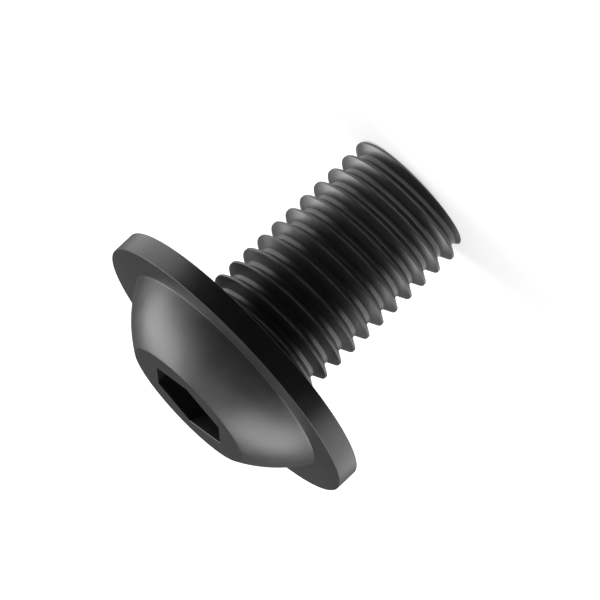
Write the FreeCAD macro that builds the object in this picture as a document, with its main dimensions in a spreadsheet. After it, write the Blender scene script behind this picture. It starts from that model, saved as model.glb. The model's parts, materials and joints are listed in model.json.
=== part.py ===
"""Flanged button head socket screw, 5/16-24 UNF x 1/2 in, headed and thread rolled from one blank of steel.

The screw stands on its tip with the head up. The origin is the centre of the bearing face, the underside
of the flange, so the head fills +Z and the threaded shank hangs below zero.
"""
import FreeCAD, Part
import os
import Sketcher

SIZES = {
    # thread
    "major_diameter": 7.9375,
    "thread_pitch": 1.05833,
    "thread_angle": 60.0,
    "crest_fraction": 0.125,     # width of the crest flat, in pitches
    "root_fraction": 0.25,       # width of the root flat, in pitches
    "thread_lead_in": 1.37,      # from the tip out to the groove's first turn, on the +X side
    "groove_overrun": 0.15,      # how far the groove's section reaches outside the crests
    # shank
    "screw_length": 12.7,        # bearing face to tip
    "point_chamfer": 0.15,       # broken edge at the tip, as high as it is wide
    "neck_flare": 0.5,           # cone that widens the neck into the bearing face, as high as it is wide
    "neck_land": 0.1,            # plain neck below that cone
    "shoulder_length": 0.33,     # cone from the neck out to the first crest
    "runout_relief": 0.05,       # the cone that closes the groove starts this far inside its root
    # head
    "flange_diameter": 17.45,
    "flange_thickness": 1.335,
    "button_diameter": 13.64,    # where the dome meets the flange
    "crown_diameter": 8.19,      # flat on top of the dome
    "head_height": 4.13,         # bearing face to crown
    # hexagon socket
    "socket_width": 4.7625,      # across flats
    "socket_depth": 2.65,
    "socket_land": 0.15,         # flat left round the cone in the socket's floor
    "socket_cone_depth": 0.5,
}

# Radii and heights that follow from the sizes.
MAJOR_RADIUS = "(sizes.major_diameter / 2)"
FLANK_SLOPE = "tan(sizes.thread_angle / 2)"
FLANK_WIDTH = "(sizes.thread_pitch * (1 - sizes.crest_fraction - sizes.root_fraction) / 2)"
THREAD_DEPTH = f"({FLANK_WIDTH} / {FLANK_SLOPE})"
ROOT_RADIUS = f"({MAJOR_RADIUS} - {THREAD_DEPTH})"
CORE_RADIUS = f"({ROOT_RADIUS} - sizes.runout_relief)"
NECK_RADIUS = f"({MAJOR_RADIUS} - {THREAD_DEPTH} / 2)"
NECK_BOTTOM = "(-sizes.neck_flare - sizes.neck_land)"
SHOULDER_BOTTOM = f"({NECK_BOTTOM} - sizes.shoulder_length)"
GROOVE_HEIGHT = "(-sizes.screw_length - sizes.thread_lead_in)"
ROOT_HALF_WIDTH = "(sizes.thread_pitch * sizes.root_fraction / 2)"
SOCKET_FLOOR = "(sizes.head_height - sizes.socket_depth)"
HEX_RADIUS = "(sizes.socket_width / 2 / cos(30))"

# How the sketcher numbers an edge's points, its own axes and the origin.
START, END, CENTRE = range(1, 4)
Y_AXIS, X_AXIS = range(-2, 0)
ORIGIN_POINT = (X_AXIS, START)
AXIS_AT_ZERO = {"X": Y_AXIS, "Y": X_AXIS}
ZERO = 1e-7
UP = FreeCAD.Vector(0, 0, 1)


def add_sheets(doc):
    """The driving dimensions, each under its own alias, and an empty sheet to reckon with."""
    sheet = doc.addObject("Spreadsheet::Sheet", "sizes")
    for row, (alias, size) in enumerate(SIZES.items(), start=1):
        sheet.set(f"A{row}", alias)
        sheet.set(f"B{row}", str(size))
        sheet.setAlias(f"B{row}", alias)
    doc.addObject("Spreadsheet::Sheet", "reckoner")
    doc.recompute()


def value_of(doc, expression):
    """What an expression of the sizes comes to."""
    doc.reckoner.set("A1", f"={expression}")
    doc.reckoner.recompute()
    return float(doc.reckoner.A1)


def add_sketch(body, name, role):
    """An empty sketch on one of the body's own origin planes."""
    sketch = body.newObject("Sketcher::SketchObject", name)
    plane = next(item for item in body.Origin.OriginFeatures if item.Role == role)
    sketch.AttachmentSupport = [(plane, "")]
    sketch.MapMode = "FlatFace"
    return sketch


def point_at(sketch, place):
    x, y = (value_of(sketch.Document, ordinate) for ordinate in place)
    return FreeCAD.Vector(x, y, 0)


def bind_ordinate(sketch, direction, edge, end, ordinate):
    """Hold one ordinate of a point at an expression, or the point on an axis where that is zero."""
    distance = value_of(sketch.Document, ordinate)
    if abs(distance) < ZERO:
        sketch.addConstraint(Sketcher.Constraint("PointOnObject", edge, end, AXIS_AT_ZERO[direction]))
        return
    held = Sketcher.Constraint(f"Distance{direction}", *ORIGIN_POINT, edge, end, distance)
    index = sketch.addConstraint(held)
    sketch.setExpression(f"Constraints[{index}]", ordinate)


def add_edge(sketch, start, end, centre):
    """A line, or an arc that turns anticlockwise round a centre where one is given."""
    if centre is None:
        sketch.addGeometry(Part.LineSegment(start, end))
        return
    rays = (start - centre, end - centre)
    right = FreeCAD.Vector(1, 0, 0)
    angles = [right.getAngle(ray) if ray.y >= 0 else -right.getAngle(ray) for ray in rays]
    sketch.addGeometry(Part.ArcOfCircle(Part.Circle(centre, UP, rays[0].Length), *angles))


def draw_outline(sketch, corners, centres=None):
    """A closed outline through corners, pairs of expressions.

    centres maps the corner where an arc starts to its centre. Its two ends and the first ordinate of
    its centre settle an arc.
    """
    centres = centres or {}
    points = [point_at(sketch, corner) for corner in corners]
    for start, end, corner in zip(points, points[1:] + points[:1], corners):
        centre = point_at(sketch, centres[corner]) if corner in centres else None
        add_edge(sketch, start, end, centre)
    before = len(corners) - 1
    for edge, corner in enumerate(corners):
        sketch.addConstraint(Sketcher.Constraint("Coincident", before, END, edge, START))
        for direction, ordinate in zip("XY", corner):
            bind_ordinate(sketch, direction, edge, START, ordinate)
        if corner in centres:
            across, _ = centres[corner]
            bind_ordinate(sketch, "X", edge, CENTRE, across)
        before = edge


def revolve(body, kind, name, sketch):
    """A full turn of a sketch about its vertical axis."""
    feature = body.newObject(f"PartDesign::{kind}", name)
    feature.Profile = sketch
    feature.ReferenceAxis = (sketch, ["V_Axis"])
    feature.Angle = 360
    return feature


def add_blank(body):
    """The shank before threading, as wide as the crests, with a shoulder below the neck and a broken tip edge."""
    sketch = add_sketch(body, "blank_section", "XZ_Plane")
    draw_outline(sketch, [
        ("0", "-sizes.screw_length"),
        (f"{MAJOR_RADIUS} - sizes.point_chamfer", "-sizes.screw_length"),
        (MAJOR_RADIUS, "-sizes.screw_length + sizes.point_chamfer"),
        (MAJOR_RADIUS, SHOULDER_BOTTOM),
        (NECK_RADIUS, NECK_BOTTOM),
        ("0", NECK_BOTTOM),
    ])
    return revolve(body, "Revolution", "blank", sketch)


def add_thread(body):
    """The right-hand groove, from below the tip up past the shoulder. What it leaves standing is the thread."""
    sketch = add_sketch(body, "groove_section", "XZ_Plane")
    rim = f"({MAJOR_RADIUS} + sizes.groove_overrun)"
    rim_half_width = f"({ROOT_HALF_WIDTH} + {FLANK_WIDTH} + sizes.groove_overrun * {FLANK_SLOPE})"
    draw_outline(sketch, [
        (ROOT_RADIUS, f"{GROOVE_HEIGHT} - {ROOT_HALF_WIDTH}"),
        (rim, f"{GROOVE_HEIGHT} - {rim_half_width}"),
        (rim, f"{GROOVE_HEIGHT} + {rim_half_width}"),
        (ROOT_RADIUS, f"{GROOVE_HEIGHT} + {ROOT_HALF_WIDTH}"),
    ])
    thread = body.newObject("PartDesign::SubtractiveHelix", "thread")
    thread.Profile = sketch
    thread.ReferenceAxis = (sketch, ["V_Axis"])
    thread.Mode = "pitch-height-angle"
    thread.setExpression("Pitch", "sizes.thread_pitch")
    thread.setExpression("Height", "sizes.screw_length + 2 * sizes.thread_lead_in")
    thread.Angle = 0
    thread.LeftHanded = False
    thread.Reversed = False
    return thread


def add_head(body):
    """Dome, flange and neck. The neck reaches down as a cone that closes the groove as a run-out."""
    sketch = add_sketch(body, "head_section", "XZ_Plane")
    flange, button, crown = (f"sizes.{part}_diameter / 2" for part in ("flange", "button", "crown"))
    dome_centre = (
        f"(({crown}) ^ 2 + sizes.head_height ^ 2 - ({button}) ^ 2 - sizes.flange_thickness ^ 2)"
        " / (2 * (sizes.head_height - sizes.flange_thickness))"
    )
    dome_foot = (button, "sizes.flange_thickness")
    runout_bottom = f"{SHOULDER_BOTTOM} - {NECK_RADIUS} + {CORE_RADIUS}"
    corners = [
        ("0", runout_bottom),
        (CORE_RADIUS, runout_bottom),
        (NECK_RADIUS, SHOULDER_BOTTOM),
        (NECK_RADIUS, "-sizes.neck_flare"),
        (f"{NECK_RADIUS} + sizes.neck_flare", "0"),
        (flange, "0"),
        (flange, "sizes.flange_thickness"),
        dome_foot,
        (crown, "sizes.head_height"),
        ("0", "sizes.head_height"),
    ]
    draw_outline(sketch, corners, {dome_foot: ("0", dome_centre)})
    return revolve(body, "Revolution", "head", sketch)


def add_socket(body):
    """The hexagon for the key, with two of its corners on the X axis."""
    sketch = add_sketch(body, "socket_section", "XY_Plane")
    sketch.setExpression("AttachmentOffset.Base.z", "sizes.head_height")
    angles = range(0, 360, 60)
    corners = [(f"{HEX_RADIUS} * cos({angle})", f"{HEX_RADIUS} * sin({angle})") for angle in angles]
    draw_outline(sketch, corners)
    socket = body.newObject("PartDesign::Pocket", "socket")
    socket.Profile = sketch
    socket.Type = "Length"
    socket.setExpression("Length", "sizes.socket_depth")
    return socket


def add_socket_cone(body):
    """The shallow cone in the middle of the socket's floor."""
    sketch = add_sketch(body, "cone_section", "XZ_Plane")
    draw_outline(sketch, [
        ("0", f"{SOCKET_FLOOR} - sizes.socket_cone_depth"),
        ("sizes.socket_width / 2 - sizes.socket_land", SOCKET_FLOOR),
        ("0", SOCKET_FLOOR),
    ])
    return revolve(body, "Groove", "socket_cone", sketch)


def build_step(doc, body, add):
    """Add one feature and return by how much it changed the body's volume."""
    before = body.Shape.Volume if body.Tip else 0.0
    feature = add(body)
    doc.recompute()
    for item in doc.Objects:
        if "Invalid" in item.State or "Error" in item.State:
            raise RuntimeError(f"{item.Name} did not compute: {item.State}")
    change = body.Shape.Volume - before
    print(f"{feature.Name}: {change:+.2f} mm3")
    return change


def build_screw(doc):
    body = doc.addObject("PartDesign::Body", "screw")
    body.Label = "screw"
    for add in (add_blank, add_thread, add_head, add_socket, add_socket_cone):
        adds_metal = add in (add_blank, add_head)
        if (build_step(doc, body, add) > 0) != adds_metal:
            raise RuntimeError(f"{add.__name__} changed the screw the wrong way")
    return body


def export(body):
    shape = body.Shape
    if shape.isNull() or not shape.isValid() or len(shape.Solids) != 1:
        raise RuntimeError(f"{body.Label} is not one valid solid")
    os.makedirs("parts", exist_ok=True)
    shape.exportStep(f"parts/{body.Label}.step")
    print(f"{body.Label}: {shape.Volume:.2f} mm3")


document = FreeCAD.newDocument("flanged_screw")
add_sheets(document)
export(build_screw(document))
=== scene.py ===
"""Looks of the flanged button head socket screw: blackened steel, on a white floor in soft studio light."""

import json
from math import cos, pi, radians, sin, tan

import bmesh
import bpy
from mathutils import Matrix, Vector


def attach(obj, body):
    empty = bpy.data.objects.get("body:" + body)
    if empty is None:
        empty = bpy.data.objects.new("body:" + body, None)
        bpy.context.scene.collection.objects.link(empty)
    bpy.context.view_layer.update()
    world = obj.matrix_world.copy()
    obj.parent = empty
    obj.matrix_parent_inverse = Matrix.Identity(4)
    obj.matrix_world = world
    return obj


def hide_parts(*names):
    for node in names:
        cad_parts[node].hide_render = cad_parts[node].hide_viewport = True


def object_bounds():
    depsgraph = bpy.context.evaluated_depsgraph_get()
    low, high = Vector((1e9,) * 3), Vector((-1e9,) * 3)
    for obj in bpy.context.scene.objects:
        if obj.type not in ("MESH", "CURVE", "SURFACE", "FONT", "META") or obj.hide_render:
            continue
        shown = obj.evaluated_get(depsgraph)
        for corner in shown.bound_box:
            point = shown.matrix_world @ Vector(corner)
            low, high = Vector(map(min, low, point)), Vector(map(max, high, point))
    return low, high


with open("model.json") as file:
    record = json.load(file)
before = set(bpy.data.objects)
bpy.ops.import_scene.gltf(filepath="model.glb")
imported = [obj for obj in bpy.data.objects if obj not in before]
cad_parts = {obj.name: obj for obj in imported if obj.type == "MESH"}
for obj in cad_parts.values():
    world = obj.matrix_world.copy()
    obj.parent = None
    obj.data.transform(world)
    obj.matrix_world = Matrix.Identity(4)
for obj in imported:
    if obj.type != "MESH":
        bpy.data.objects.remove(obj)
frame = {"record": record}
CAD_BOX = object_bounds()

MM = 0.001
MOUNTS = {mount["name"]: mount for mount in frame["record"]["mounts"]}

# The screw's sizes, from the frame where it holds them.
MAJOR_RADIUS = MOUNTS["thread"]["dims"]["r_mm"] * MM
SOCKET_DEPTH = MOUNTS["hex_socket"]["dims"]["length_mm"] * MM
TIP = CAD_BOX[0][2]
CROWN = CAD_BOX[1][2]
FLANGE_RADIUS = CAD_BOX[1][0]
PITCH = 1.05833 * MM
HALF_ANGLE = radians(30)
CREST_HALF = PITCH / 16
ROOT_HALF = PITCH / 8
THREAD_DEPTH = (PITCH / 2 - CREST_HALF - ROOT_HALF) / tan(HALF_ANGLE)
ROOT_RADIUS = MAJOR_RADIUS - THREAD_DEPTH
NECK_RADIUS = MAJOR_RADIUS - THREAD_DEPTH / 2
CORE_RADIUS = ROOT_RADIUS - 0.05 * MM
LEAD_IN = 1.37 * MM
POINT_CHAMFER = 0.15 * MM
NECK_FLARE = 0.5 * MM
NECK_BOTTOM = -0.6 * MM
SHOULDER_BOTTOM = -0.93 * MM
FLANGE_TOP = 1.335 * MM
BUTTON_RADIUS = 6.82 * MM
CROWN_RADIUS = 4.095 * MM
SOCKET_HALF_WIDTH = 4.7625 / 2 * MM
SOCKET_FLOOR = CROWN - SOCKET_DEPTH
SOCKET_LAND = 0.15 * MM
SOCKET_CONE = 0.5 * MM
HEX_SIDES = 6

# How far the edges are broken, and how finely the surfaces are divided.
CREST_BREAK = 0.025 * MM
ROOT_BREAK = 0.07 * MM
EDGE_BREAK = 0.05 * MM
FLARE_EASE = 0.2 * MM
SOCKET_BREAK = 0.02 * MM
COLUMNS = 240
CORNER_STEPS = 3
DOME_STEPS = 28
SHARP_ABOVE = radians(32)

# How far the forms that cut one another reach past what they cut, and how close points are merged.
CLEAR = 0.5 * MM
TURNS_ABOVE = 2
END_CONE = 2 * PITCH
WELD = 0.0001 * MM

# The finish: black oxide with a mottle and a grain. The thread's lower flanks get painted light: their
# colour is made lighter to stand in for light that their shade takes away.
OXIDE_THICK = (0.074, 0.074, 0.076, 1)
OXIDE_THIN = (0.087, 0.087, 0.089, 1)
METALLIC = 0.96
ROUGHNESS = (0.36, 0.42)
MOTTLE_SCALE, MOTTLE_DETAIL = 900.0, 4.0
GRAIN_SCALE, GRAIN_DETAIL = 9000.0, 3.0
GRAIN_STRENGTH, GRAIN_DEPTH = 0.12, 0.004 * MM
NOISE_ROUGHNESS = 0.6
NOISE_RANGE = (0.3, 0.7)
# Painted light on the thread's flanks: how far a surface must lean, the heights below which it fades in, and
# how many times lighter its colour is made.
FLANK_LEAN = (0.2, 0.6)
FLANKS_BELOW = (-0.4 * MM, NECK_BOTTOM)
FLANK_PAINTED_LIGHT = 1.7

# The studio. Azimuths are degrees round from where the camera is, elevations are degrees up, and a card
# spreads by so many degrees to each side of its azimuth.
WHITE = (1, 1, 1, 1)
AMBIENT, BACKDROP = 0.6, 1.0
FLOOR_SIZE = 6.0
FLOOR_PAPER = (0.75, 0.75, 0.75, 1)
FLOOR_GLOW = 0.42
LAMP_DISTANCE = 0.4
LAMP_HEIGHT = 0.30
LAMPS = {
    "key": {"azimuth": 128, "elevation": 45, "width": 0.24, "power": 0.95},
    "fill": {"azimuth": -120, "elevation": 43, "width": 0.22, "power": 0.72},
}
CARD_NEAR, CARD_FAR = 0.012, 0.6
CARD_LIFT = 0.0002
CARD_FOOT = -1
CARD_STEPS = 32
CARDS = {
    "front_card": {"azimuth": 0, "spread": 74, "low": None, "high": 34, "shade": 0.02},
    "brow_card": {"azimuth": 0, "spread": 74, "low": 34, "high": 76, "shade": 0.17},
    "back_card": {"azimuth": 180, "spread": 38, "low": None, "high": 60, "shade": 0.18},
    "key_card": {"azimuth": 108, "spread": 34, "low": None, "high": 4, "shade": 1.65},
    "fill_card": {"azimuth": -108, "spread": 34, "low": None, "high": 4, "shade": 1.65},
}

# The photograph's view.
CAMERA_AZIMUTH = -73.85
CAMERA_ELEVATION = 11.324
TIP_SLOPE = radians(43.208)
CAMERA_DISTANCE = 1.417
SENSOR_WIDTH = 36
CLIP = (0.05, 100)
PIXELS_PER_MM = 18.6695
FRAME_WIDTH = 600
FRAME_RIGHT = 3.0404 * MM
FRAME_UP = 2.8634 * MM


def arc(centre, first, last, steps):
    """Points along the shorter arc from first to last."""
    radius = (first - centre).length
    start, end = (first - centre).normalized(), (last - centre).normalized()
    return [centre + start.slerp(end, step / steps) * radius for step in range(steps + 1)]


def eased(outline):
    """A polyline from corners, each with the radius of its arc; a radius of 0 leaves the corner sharp."""
    line = []
    for index, (corner, radius) in enumerate(outline):
        here = Vector(corner)
        if not radius:
            line.append(here)
            continue
        back = (Vector(outline[index - 1][0]) - here).normalized()
        ahead = (Vector(outline[index + 1][0]) - here).normalized()
        half = back.angle(ahead) / 2
        centre = here + (back + ahead).normalized() * radius / sin(half)
        first = here + back * radius / tan(half)
        last = here + ahead * radius / tan(half)
        line += arc(centre, first, last, CORNER_STEPS)
    return line


def mesh_object(name, points, faces):
    """A new object in the scene, with a mesh of its own."""
    mesh = bpy.data.meshes.new(name)
    mesh.from_pydata(points, [], faces)
    piece = bpy.data.objects.new(name, mesh)
    bpy.context.scene.collection.objects.link(piece)
    return piece


def around(radius, angle, height):
    """The point at an angle round the screw's axis."""
    return (radius * cos(angle), radius * sin(angle), height)


def lathe(name, line):
    """A solid of revolution from a line of (radius, height) that starts and ends on the axis."""
    rows = len(line) - 2
    points = [(0, 0, line[0][1]), (0, 0, line[-1][1])]
    for column in range(COLUMNS):
        angle = 2 * pi * (column + 0.5) / COLUMNS
        points += [around(radius, angle, height) for radius, height in line[1:-1]]
    faces = []
    for column in range(COLUMNS):
        here = 2 + column * rows
        there = 2 + (column + 1) % COLUMNS * rows
        faces.append((0, there, here))
        faces += [(here + row, there + row, there + row + 1, here + row + 1) for row in range(rows - 1)]
        faces.append((here + rows - 1, there + rows - 1, 1))
    return mesh_object(name, points, faces)


def thread_strip():
    """One pitch of the thread across its groove, from crest to crest, as (radius, height)."""
    return eased([
        ((MAJOR_RADIUS, -PITCH / 2 - CREST_HALF), 0),
        ((MAJOR_RADIUS, -PITCH / 2 + CREST_HALF), CREST_BREAK),
        ((ROOT_RADIUS, -ROOT_HALF), ROOT_BREAK),
        ((ROOT_RADIUS, ROOT_HALF), ROOT_BREAK),
        ((MAJOR_RADIUS, PITCH / 2 - CREST_HALF), CREST_BREAK),
        ((MAJOR_RADIUS, PITCH / 2 + CREST_HALF), 0),
    ])[1:-1]


def thread_form():
    """The right-hand thread: one helical strip, longer than the shank and closed by a cone at each end."""
    strip = thread_strip()
    width = len(strip)
    start = TIP - LEAD_IN
    steps = int((-start / PITCH + TURNS_ABOVE) * COLUMNS)

    def place(step, across):
        radius, height = strip[across]
        return around(radius, 2 * pi * step / COLUMNS, start + PITCH * step / COLUMNS + height)

    def corner(step, across):
        """Index of a point. The strip's far edge is the near edge of the turn above."""
        if across == width:
            step, across = step + COLUMNS, 0
        if step <= steps:
            return step * width + across
        return (steps + 1) * width + step - steps - 1

    points = [place(step, across) for step in range(steps + 1) for across in range(width)]
    points += [place(step, 0) for step in range(steps + 1, steps + COLUMNS + 1)]
    faces = []
    for step in range(steps):
        for across in range(width):
            near = (corner(step, across), corner(step + 1, across))
            far = (corner(step + 1, across + 1), corner(step, across + 1))
            faces.append(near + far)
    bottom = start - END_CONE
    top = start + PITCH * (steps / COLUMNS + 1) + END_CONE
    for end, height in ((0, bottom), (steps, top)):
        loop = [corner(end + step, 0) for step in range(COLUMNS)]
        loop += [corner(end, across) for across in range(width, 0, -1)]
        apex = len(points)
        points.append((0, 0, height))
        for here, there in zip(loop, loop[1:] + loop[:1]):
            faces.append((apex, there, here) if end == 0 else (apex, here, there))
    return mesh_object("thread_form", points, faces)


def shank_form():
    """What the thread is trimmed to: flat tip with a broken edge, and the shoulder under the neck."""
    slope = (MAJOR_RADIUS - NECK_RADIUS) / (NECK_BOTTOM - SHOULDER_BOTTOM)
    outside = MAJOR_RADIUS + CLEAR
    inside = NECK_RADIUS - NECK_FLARE / 2

    def shoulder(radius):
        return NECK_BOTTOM - (radius - NECK_RADIUS) / slope

    return lathe("shank_form", [
        (0, TIP),
        (MAJOR_RADIUS - POINT_CHAMFER, TIP),
        (outside, TIP + POINT_CHAMFER + CLEAR),
        (outside, shoulder(outside)),
        (inside, shoulder(inside)),
        (0, shoulder(inside)),
    ])


def head_form():
    """Dome, flange and neck. The neck's lower cone closes the thread's groove."""
    rise = CROWN - FLANGE_TOP
    centre = (CROWN_RADIUS ** 2 + CROWN ** 2 - BUTTON_RADIUS ** 2 - FLANGE_TOP ** 2) / (2 * rise)
    ends = (Vector((BUTTON_RADIUS, FLANGE_TOP)), Vector((CROWN_RADIUS, CROWN)))
    foot, *dome, brow = arc(Vector((0, centre)), *ends, DOME_STEPS)
    runout = SHOULDER_BOTTOM - NECK_RADIUS + CORE_RADIUS
    return lathe("screw_body", eased([
        ((0, runout), 0),
        ((CORE_RADIUS, runout), 0),
        ((NECK_RADIUS, SHOULDER_BOTTOM), 0),
        ((NECK_RADIUS, -NECK_FLARE), FLARE_EASE),
        ((NECK_RADIUS + NECK_FLARE, 0), FLARE_EASE),
        ((FLANGE_RADIUS, 0), EDGE_BREAK),
        ((FLANGE_RADIUS, FLANGE_TOP), EDGE_BREAK),
        (foot, EDGE_BREAK),
        *[(point, 0) for point in dome],
        (brow, EDGE_BREAK),
        ((0, CROWN), 0),
    ]))


def socket_form():
    """The hexagon's hole, with a broken edge at its mouth."""
    levels = [(0, SOCKET_FLOOR), (0, CROWN - SOCKET_BREAK), (SOCKET_BREAK + CLEAR, CROWN + CLEAR)]
    points = []
    for wider, height in levels:
        radius = (SOCKET_HALF_WIDTH + wider) / cos(pi / HEX_SIDES)
        points += [around(radius, 2 * pi * side / HEX_SIDES, height) for side in range(HEX_SIDES)]
    rings = [range(level * HEX_SIDES, (level + 1) * HEX_SIDES) for level in range(len(levels))]
    faces = [tuple(reversed(rings[0])), tuple(rings[-1])]
    for lower, upper in zip(rings, rings[1:]):
        for here in range(HEX_SIDES):
            there = (here + 1) % HEX_SIDES
            faces.append((lower[here], lower[there], upper[there], upper[here]))
    return mesh_object("socket_form", points, faces)


def cone_form():
    """The shallow cone in the socket's floor, carried on a little past the floor."""
    radius = SOCKET_HALF_WIDTH - SOCKET_LAND
    wide = radius + SOCKET_LAND / 2
    rim = SOCKET_FLOOR + (wide - radius) * SOCKET_CONE / radius
    return lathe("cone_form", [(0, SOCKET_FLOOR - SOCKET_CONE), (wide, rim), (0, SOCKET_FLOOR + CLEAR)])


def combine(piece, other, operation):
    """Cut, join or trim piece with other, which is used up."""
    step = piece.modifiers.new(operation.lower(), "BOOLEAN")
    step.operation = operation
    step.solver = "EXACT"
    step.object = other
    shaped = piece.evaluated_get(bpy.context.evaluated_depsgraph_get())
    mesh = bpy.data.meshes.new_from_object(shaped)
    piece.modifiers.remove(step)
    weld = bmesh.new()
    weld.from_mesh(mesh)
    bmesh.ops.remove_doubles(weld, verts=weld.verts, dist=WELD)
    weld.to_mesh(mesh)
    weld.free()
    piece.data = mesh
    bpy.data.objects.remove(other)


def smooth(piece):
    """Smooth shading that keeps flats flat and true edges crisp."""
    piece.data.shade_smooth()
    piece.data.set_sharp_from_angle(angle=SHARP_ABOVE)
    weighted = piece.modifiers.new("weighted_normals", "WEIGHTED_NORMAL")
    weighted.keep_sharp = True


def build_screw():
    """The whole screw as one closed mesh."""
    thread = thread_form()
    combine(thread, shank_form(), "INTERSECT")
    screw = head_form()
    combine(screw, thread, "UNION")
    combine(screw, socket_form(), "DIFFERENCE")
    combine(screw, cone_form(), "DIFFERENCE")
    smooth(screw)
    screw.data.name = screw.name
    return screw


def cleared(owner):
    """The empty node tree of a material or world."""
    owner.use_nodes = True
    owner.node_tree.nodes.clear()
    return owner.node_tree


def feed(tree, socket, value):
    """Link a socket to another node's output, or set it to a constant."""
    if isinstance(value, bpy.types.NodeSocket):
        tree.links.new(value, socket)
    else:
        socket.default_value = value


def node(tree, kind, *values, **settings):
    """Add a shader node and return it.

    values fill its inputs in order. A setting is a property's name, or an input's name with _ for a space.
    """
    made = tree.nodes.new(kind)
    for socket, value in zip(made.inputs, values):
        feed(tree, socket, value)
    for name, value in settings.items():
        if hasattr(made, name):
            setattr(made, name, value)
        else:
            feed(tree, made.inputs[name.replace("_", " ")], value)
    return made


def ranged(tree, value, taken, given):
    """Map one range of values to another, held at its ends."""
    return node(tree, "ShaderNodeMapRange", value, *taken, *given).outputs["Result"]


def noise(tree, place, scale, detail):
    """Noise through the metal, its values mostly within NOISE_RANGE."""
    settings = {"Scale": scale, "Detail": detail, "Roughness": NOISE_ROUGHNESS}
    return node(tree, "ShaderNodeTexNoise", Vector=place, **settings).outputs["Fac"]


def painted_light_mask(tree, place, normal):
    """Where the painted light goes: 1 on the thread's flanks and 0 elsewhere, from how the surface faces and
    how low it lies.
    """
    lean = node(tree, "ShaderNodeSeparateXYZ", normal).outputs["Z"]
    steepness = node(tree, "ShaderNodeMath", lean, operation="ABSOLUTE").outputs[0]
    height = node(tree, "ShaderNodeSeparateXYZ", place).outputs["Z"]
    leaning = ranged(tree, steepness, FLANK_LEAN, (0, 1))
    below = ranged(tree, height, FLANKS_BELOW, (0, 1))
    return node(tree, "ShaderNodeMath", leaning, below, operation="MULTIPLY").outputs[0]


def blackened_steel():
    """Black oxide on rolled steel: satin, a little mottled, with a fine grain, and with painted light that
    makes the thread's flanks lighter.
    """
    material = bpy.data.materials.new("steel")
    tree = cleared(material)
    coordinates = node(tree, "ShaderNodeTexCoord").outputs
    place = coordinates["Object"]
    mottle = noise(tree, place, MOTTLE_SCALE, MOTTLE_DETAIL)
    grain = noise(tree, place, GRAIN_SCALE, GRAIN_DETAIL)
    colour = node(tree, "ShaderNodeValToRGB", mottle)
    for stop, position, shade in zip(colour.color_ramp.elements, NOISE_RANGE, (OXIDE_THICK, OXIDE_THIN)):
        stop.position = position
        stop.color = shade
    # Painted light: the colour on the thread's flanks is made lighter, in place of light that falls there.
    painted_flank_share = painted_light_mask(tree, place, coordinates["Normal"])
    painted_gain = ranged(tree, painted_flank_share, (0, 1), (1, FLANK_PAINTED_LIGHT))
    painted_colour = node(tree, "ShaderNodeVectorMath", colour.outputs["Color"], operation="SCALE", Scale=painted_gain)
    bump = node(tree, "ShaderNodeBump", Height=grain, Strength=GRAIN_STRENGTH, Distance=GRAIN_DEPTH)
    shader = node(tree, "ShaderNodeBsdfPrincipled", Metallic=METALLIC, Specular_Tint=WHITE)
    feed(tree, shader.inputs["Base Color"], painted_colour.outputs[0])
    feed(tree, shader.inputs["Roughness"], ranged(tree, mottle, NOISE_RANGE, ROUGHNESS))
    feed(tree, shader.inputs["Normal"], bump.outputs["Normal"])
    node(tree, "ShaderNodeOutputMaterial", shader.outputs["BSDF"])
    return material


def seen_directly(tree):
    """1 for rays that the camera, a reflection or a refraction sends, 0 for light that falls on things."""
    path = node(tree, "ShaderNodeLightPath").outputs
    seen = path["Is Camera Ray"]
    for ray in ("Is Glossy Ray", "Is Transmission Ray"):
        seen = node(tree, "ShaderNodeMath", seen, path[ray], operation="MAXIMUM").outputs[0]
    return seen


def white_world():
    """A white backdrop, seen and mirrored at full, and dimmer as light on matt surfaces."""
    world = bpy.data.worlds.new("studio")
    bpy.context.scene.world = world
    tree = cleared(world)
    ambient = node(tree, "ShaderNodeBackground", WHITE, AMBIENT).outputs[0]
    backdrop = node(tree, "ShaderNodeBackground", WHITE, BACKDROP).outputs[0]
    mix = node(tree, "ShaderNodeMixShader", seen_directly(tree), ambient, backdrop)
    node(tree, "ShaderNodeOutputWorld", mix.outputs[0])


def toward(azimuth, elevation):
    """Unit vector from the object, at degrees round from +X and above the floor."""
    azimuth, elevation = radians(azimuth), radians(elevation)
    return Vector((cos(elevation) * cos(azimuth), cos(elevation) * sin(azimuth), sin(elevation)))


def softbox(name, azimuth, elevation, width, power):
    """A large soft lamp that faces the screw."""
    light = bpy.data.lights.new(name, "AREA")
    light.shape = "RECTANGLE"
    light.size, light.size_y = width, LAMP_HEIGHT
    light.energy = power
    lamp = bpy.data.objects.new(name, light)
    bpy.context.scene.collection.objects.link(lamp)
    lamp.location = toward(CAMERA_AZIMUTH + azimuth, elevation) * LAMP_DISTANCE
    lamp.rotation_euler = lamp.location.to_track_quat("Z", "Y").to_euler()


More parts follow.
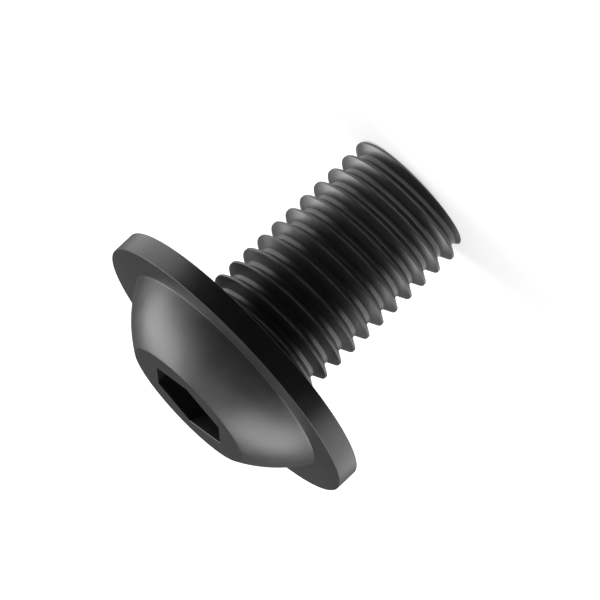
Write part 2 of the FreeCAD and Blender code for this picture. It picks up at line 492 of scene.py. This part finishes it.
def card(name, azimuth, spread, low, high, shade):
    """A card bent round the screw that only reflections see.

    It stands between the elevations low and high. One without a low lies along the floor as well, from close
    to the screw out to where it stands.
    """

    def upright(elevation):
        return (CARD_FAR, CARD_FAR * tan(radians(elevation)))

    if low is None:
        line = [(CARD_NEAR, TIP + CARD_LIFT), upright(CARD_FOOT), upright(high)]
    else:
        line = [upright(low), upright(high)]
    points = []
    for step in range(CARD_STEPS + 1):
        angle = radians(CAMERA_AZIMUTH + azimuth + spread * (2 * step / CARD_STEPS - 1))
        points += [around(radius, angle, height) for radius, height in line]
    width = len(line)
    faces = []
    for step in range(CARD_STEPS):
        for row in range(width - 1):
            here = step * width + row
            faces.append((here, here + width, here + width + 1, here + 1))
    piece = mesh_object(name, points, faces)
    material = bpy.data.materials.new(name)
    tree = cleared(material)
    surface = node(tree, "ShaderNodeEmission", WHITE, shade)
    node(tree, "ShaderNodeOutputMaterial", surface.outputs[0])
    piece.data.materials.append(material)
    piece.visible_camera = False
    piece.visible_diffuse = False
    piece.visible_shadow = False
    piece.visible_transmission = False


def floor():
    """A white floor under the tip. What looks at it sees white, darkened by the screw's soft shadow."""
    half = FLOOR_SIZE / 2
    corners = [(-half, -half, TIP), (half, -half, TIP), (half, half, TIP), (-half, half, TIP)]
    piece = mesh_object("floor", corners, [(0, 1, 2, 3)])
    material = bpy.data.materials.new("floor")
    tree = cleared(material)
    paper = node(tree, "ShaderNodeBsdfDiffuse", FLOOR_PAPER).outputs[0]
    glow = node(tree, "ShaderNodeEmission", WHITE, FLOOR_GLOW).outputs[0]
    both = node(tree, "ShaderNodeAddShader", paper, glow).outputs[0]
    mix = node(tree, "ShaderNodeMixShader", seen_directly(tree), paper, both)
    node(tree, "ShaderNodeOutputMaterial", mix.outputs[0])
    piece.data.materials.append(material)


def photograph_camera():
    """The photograph's view: from just above the floor, rolled so that the tip points up to the right."""
    back = toward(CAMERA_AZIMUTH, CAMERA_ELEVATION)
    down = Vector((0, 0, -1))
    tipward = (down - back * down.dot(back)).normalized()
    right = Matrix.Rotation(-TIP_SLOPE, 3, back) @ tipward
    up = back.cross(right)
    camera = bpy.data.cameras.new("camera")
    camera.sensor_width = SENSOR_WIDTH
    camera.lens = SENSOR_WIDTH * CAMERA_DISTANCE * PIXELS_PER_MM / (FRAME_WIDTH * MM)
    camera.clip_start, camera.clip_end = CLIP
    piece = bpy.data.objects.new("camera", camera)
    bpy.context.scene.collection.objects.link(piece)
    turn = Matrix((right, up, back)).transposed()
    place = right * FRAME_RIGHT + up * FRAME_UP + back * CAMERA_DISTANCE
    piece.matrix_world = Matrix.Translation(place) @ turn.to_4x4()
    bpy.context.scene.camera = piece


screw = build_screw()
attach(screw, "root")
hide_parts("screw")
screw.data.materials.clear()
screw.data.materials.append(blackened_steel())

floor()
white_world()
for name, lamp in LAMPS.items():
    softbox(name, **lamp)
for name, stage_card in CARDS.items():
    card(name, **stage_card)
photograph_camera()
bpy.context.scene.view_settings.view_transform = "Standard"
